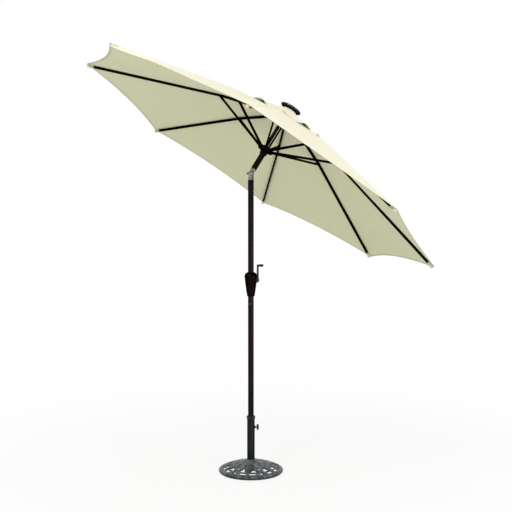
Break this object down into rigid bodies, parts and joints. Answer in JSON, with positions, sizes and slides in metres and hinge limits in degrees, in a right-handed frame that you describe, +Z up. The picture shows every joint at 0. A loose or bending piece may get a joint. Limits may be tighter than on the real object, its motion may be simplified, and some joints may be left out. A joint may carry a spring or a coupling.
{
  "type": "patio umbrella with base",
  "caption": "Tilting crank-up patio umbrella with vented cloth canopy, folding ribs and struts, solar top disc, and a round openwork cast base.",
  "frame": {"origin": "centre of the base plate's underside, on the floor plane and on the pole's axis", "axes": "+Z up along the pole; the open canopy leans towards +X; +Y is horizontal, along the tilt pivot"},
  "size_m": [2.0846, 2.4754, 2.7399],
  "materials": {
    "base_iron": "matte",
    "tube_paint": "satin",
    "bolt_steel": "satin",
    "black_plastic": "satin",
    "case_plastic": "gloss",
    "pole_paint": "satin",
    "tilt_casting": "satin",
    "rib_coat": "satin",
    "canopy_cloth": "matte",
    "solar_plastic": "satin",
    "cord_braid": "matte"
  },
  "bodies": {
    "base": {"base_plate": "base_iron", "base_tube": "tube_paint", "tube_plug": "tube_paint", "base_bolt": "bolt_steel"},
    "clamp": {"clamp_knob": "black_plastic"},
    "sleeve": {"pole_sleeve": "black_plastic"},
    "pole": {"lower_pole": "pole_paint", "mid_pole": "pole_paint", "case_front": "case_plastic", "case_back": "case_plastic", "case_screws": "bolt_steel", "tilt_lower": "tilt_casting", "tilt_bolt": "bolt_steel"},
    "snap": {"snap_button": "bolt_steel"},
    "crank": {"crank_shaft": "bolt_steel", "crank_handle": "black_plastic"},
    "grip": {"crank_grip": "black_plastic"},
    "tilt_release": {"tilt_button": "black_plastic"},
    "mast": {"tilt_upper": "tilt_casting", "upper_pole": "pole_paint", "top_hub": "black_plastic", "hub_pins": "bolt_steel", "solar_disc": "solar_plastic", "finial_stud": "bolt_steel", "vent_cap": "canopy_cloth", "lift_cord": "cord_braid"},
    "runner": {"runner": "black_plastic", "runner_pins": "bolt_steel"},
    "rib_arm_1": {"rib_1": "rib_coat", "canopy_1": "canopy_cloth"},
    "strut_arm_1": {"strut_1": "rib_coat"},
    "rib_arm_2": {"rib_2": "rib_coat", "canopy_2": "canopy_cloth"},
    "strut_arm_2": {"strut_2": "rib_coat"},
    "rib_arm_3": {"rib_3": "rib_coat", "canopy_3": "canopy_cloth"},
    "strut_arm_3": {"strut_3": "rib_coat"},
    "rib_arm_4": {"rib_4": "rib_coat", "canopy_4": "canopy_cloth"},
    "strut_arm_4": {"strut_4": "rib_coat"},
    "rib_arm_5": {"rib_5": "rib_coat", "canopy_5": "canopy_cloth"},
    "strut_arm_5": {"strut_5": "rib_coat"},
    "rib_arm_6": {"rib_6": "rib_coat", "canopy_6": "canopy_cloth"},
    "strut_arm_6": {"strut_6": "rib_coat"},
    "rib_arm_7": {"rib_7": "rib_coat", "canopy_7": "canopy_cloth"},
    "strut_arm_7": {"strut_7": "rib_coat"},
    "rib_arm_8": {"rib_8": "rib_coat", "canopy_8": "canopy_cloth"},
    "strut_arm_8": {"strut_8": "rib_coat"}
  },
  "joints": [
    {"name": "clamp_knob_turn", "type": "hinge", "parent": "base", "child": "clamp", "pos_m": [0.03845, -0.01103, 0.303], "axis": [0.9613, -0.2756, 0], "range_deg": [0, 720]},
    {"name": "pole_turn", "type": "hinge", "parent": "base", "child": "sleeve", "pos_m": [0, 0, 0.3], "axis": [0, 0, 1], "continuous": true},
    {"name": "pole_lift", "type": "slide", "parent": "sleeve", "child": "pole", "axis": [0, 0, 1], "range_m": [0, 0.33]},
    {"name": "snap_button_press", "type": "slide", "parent": "pole", "child": "snap", "axis": [0.5, 0.866, 0], "range_m": [0, 0.004], "stiffness_N_per_m": 600, "springref_m": -0.003},
    {"name": "tilt_lean", "type": "hinge", "parent": "pole", "child": "mast", "pos_m": [0, 0, 2.001], "axis": [0, 1, 0], "range_deg": [-32.84, 0]},
    {"name": "tilt_button_press", "type": "slide", "parent": "pole", "child": "tilt_release", "axis": [1, 0, 0], "range_m": [0, 0.003], "stiffness_N_per_m": 600, "springref_m": -0.003},
    {"name": "runner_slide", "type": "slide", "parent": "mast", "child": "runner", "axis": [-0.5423, 0, -0.8402], "range_m": [0, 0.11], "deforming": ["vent_cap", "lift_cord"]},
    {"name": "crank_turn", "type": "hinge", "parent": "pole", "child": "crank", "pos_m": [0.03152, -0.02463, 1.297], "axis": [0.788, -0.6157, 0], "range_deg": [0, 530]},
    {"name": "crank_grip_spin", "type": "hinge", "parent": "crank", "child": "grip", "pos_m": [0.05516, -0.0431, 1.394], "axis": [0.788, -0.6157, 0], "continuous": true},
    {"name": "rib_1_droop", "type": "hinge", "parent": "mast", "child": "rib_arm_1", "pos_m": [0.27804, 0.01722, 2.35511], "axis": [-0.3215, 0.9239, 0.2075], "range_deg": [0, 9.3], "deforming": ["canopy_1"]},
    {"name": "strut_1_rise", "type": "hinge", "parent": "runner", "child": "strut_arm_1", "pos_m": [0.13824, 0.01722, 2.13851], "axis": [0.3215, -0.9239, -0.2075], "range_deg": [0, 6.6]},
    {"name": "rib_2_droop", "type": "hinge", "parent": "mast", "child": "rib_arm_2", "pos_m": [0.25758, 0.04157, 2.36832], "axis": [-0.7762, 0.3827, 0.501], "range_deg": [0, 9.3], "deforming": ["canopy_2"]},
    {"name": "strut_2_rise", "type": "hinge", "parent": "runner", "child": "strut_arm_2", "pos_m": [0.11778, 0.04157, 2.15172], "axis": [0.7762, -0.3827, -0.501], "range_deg": [0, 6.6]},
    {"name": "rib_3_droop", "type": "hinge", "parent": "mast", "child": "rib_arm_3", "pos_m": [0.22864, 0.04157, 2.387], "axis": [-0.7762, -0.3827, 0.501], "range_deg": [0, 9.3], "deforming": ["canopy_3"]},
    {"name": "strut_3_rise", "type": "hinge", "parent": "runner", "child": "strut_arm_3", "pos_m": [0.08884, 0.04157, 2.17039], "axis": [0.7762, 0.3827, -0.501], "range_deg": [0, 6.6]},
    {"name": "rib_4_droop", "type": "hinge", "parent": "mast", "child": "rib_arm_4", "pos_m": [0.20818, 0.01722, 2.4002], "axis": [-0.3215, -0.9239, 0.2075], "range_deg": [0, 9.3], "deforming": ["canopy_4"]},
    {"name": "strut_4_rise", "type": "hinge", "parent": "runner", "child": "strut_arm_4", "pos_m": [0.06838, 0.01722, 2.1836], "axis": [0.3215, 0.9239, -0.2075], "range_deg": [0, 6.6]},
    {"name": "rib_5_droop", "type": "hinge", "parent": "mast", "child": "rib_arm_5", "pos_m": [0.20818, -0.01722, 2.4002], "axis": [0.3215, -0.9239, -0.2075], "range_deg": [0, 9.3], "deforming": ["canopy_5"]},
    {"name": "strut_5_rise", "type": "hinge", "parent": "runner", "child": "strut_arm_5", "pos_m": [0.06838, -0.01722, 2.1836], "axis": [-0.3215, 0.9239, 0.2075], "range_deg": [0, 6.6]},
    {"name": "rib_6_droop", "type": "hinge", "parent": "mast", "child": "rib_arm_6", "pos_m": [0.22864, -0.04157, 2.387], "axis": [0.7762, -0.3827, -0.501], "range_deg": [0, 9.3], "deforming": ["canopy_6"]},
    {"name": "strut_6_rise", "type": "hinge", "parent": "runner", "child": "strut_arm_6", "pos_m": [0.08884, -0.04157, 2.17039], "axis": [-0.7762, 0.3827, 0.501], "range_deg": [0, 6.6]},
    {"name": "rib_7_droop", "type": "hinge", "parent": "mast", "child": "rib_arm_7", "pos_m": [0.25758, -0.04157, 2.36832], "axis": [0.7762, 0.3827, -0.501], "range_deg": [0, 9.3], "deforming": ["canopy_7"]},
    {"name": "strut_7_rise", "type": "hinge", "parent": "runner", "child": "strut_arm_7", "pos_m": [0.11778, -0.04157, 2.15172], "axis": [-0.7762, -0.3827, 0.501], "range_deg": [0, 6.6]},
    {"name": "rib_8_droop", "type": "hinge", "parent": "mast", "child": "rib_arm_8", "pos_m": [0.27804, -0.01722, 2.35511], "axis": [0.3215, 0.9239, -0.2075], "range_deg": [0, 9.3], "deforming": ["canopy_8"]},
    {"name": "strut_8_rise", "type": "hinge", "parent": "runner", "child": "strut_arm_8", "pos_m": [0.13824, -0.01722, 2.13851], "axis": [-0.3215, -0.9239, 0.2075], "range_deg": [0, 6.6]}
  ],
  "couplings": [
    {"joint": "crank_turn", "follows": "runner_slide", "rad_per_m": 83.333},
    {"joint": "rib_1_droop", "follows": "runner_slide", "rad_per_m": 1.4486},
    {"joint": "strut_1_rise", "follows": "runner_slide", "rad_per_m": 1.0236},
    {"joint": "rib_2_droop", "follows": "runner_slide", "rad_per_m": 1.4486},
    {"joint": "strut_2_rise", "follows": "runner_slide", "rad_per_m": 1.0236},
    {"joint": "rib_3_droop", "follows": "runner_slide", "rad_per_m": 1.4486},
    {"joint": "strut_3_rise", "follows": "runner_slide", "rad_per_m": 1.0236},
    {"joint": "rib_4_droop", "follows": "runner_slide", "rad_per_m": 1.4486},
    {"joint": "strut_4_rise", "follows": "runner_slide", "rad_per_m": 1.0236},
    {"joint": "rib_5_droop", "follows": "runner_slide", "rad_per_m": 1.4486},
    {"joint": "strut_5_rise", "follows": "runner_slide", "rad_per_m": 1.0236},
    {"joint": "rib_6_droop", "follows": "runner_slide", "rad_per_m": 1.4486},
    {"joint": "strut_6_rise", "follows": "runner_slide", "rad_per_m": 1.0236},
    {"joint": "rib_7_droop", "follows": "runner_slide", "rad_per_m": 1.4486},
    {"joint": "strut_7_rise", "follows": "runner_slide", "rad_per_m": 1.0236},
    {"joint": "rib_8_droop", "follows": "runner_slide", "rad_per_m": 1.4486},
    {"joint": "strut_8_rise", "follows": "runner_slide", "rad_per_m": 1.0236}
  ]
}
